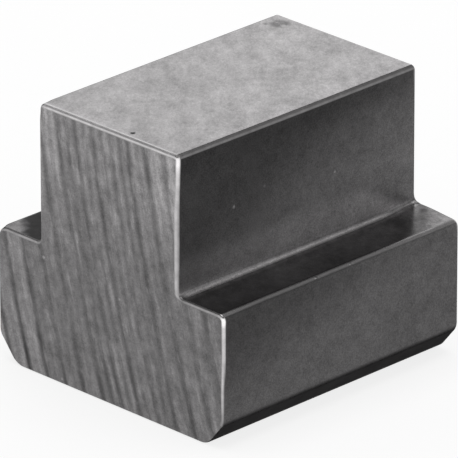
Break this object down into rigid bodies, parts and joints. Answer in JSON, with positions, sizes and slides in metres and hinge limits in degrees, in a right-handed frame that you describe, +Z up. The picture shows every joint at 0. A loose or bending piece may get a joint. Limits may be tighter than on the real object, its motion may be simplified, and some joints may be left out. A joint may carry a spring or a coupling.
{
  "type": "t-slot nut",
  "caption": "Blank t-slot nut of bright drawn steel: a narrow neck on a wider base, square sawn ends, broken edges and no thread cut yet.",
  "frame": {"origin": "centre of the underside of the base, which the nut stands on", "axes": "+Z up through the neck, out of the slot; +X across the slot; +Y along the slot, from one sawn end to the other"},
  "size_m": [0.035, 0.0364, 0.0325],
  "materials": {
    "bright_steel": "drawn, with sawn ends"
  },
  "bodies": {
    "root": {"nut_blank": "bright_steel"}
  },
  "joints": []
}
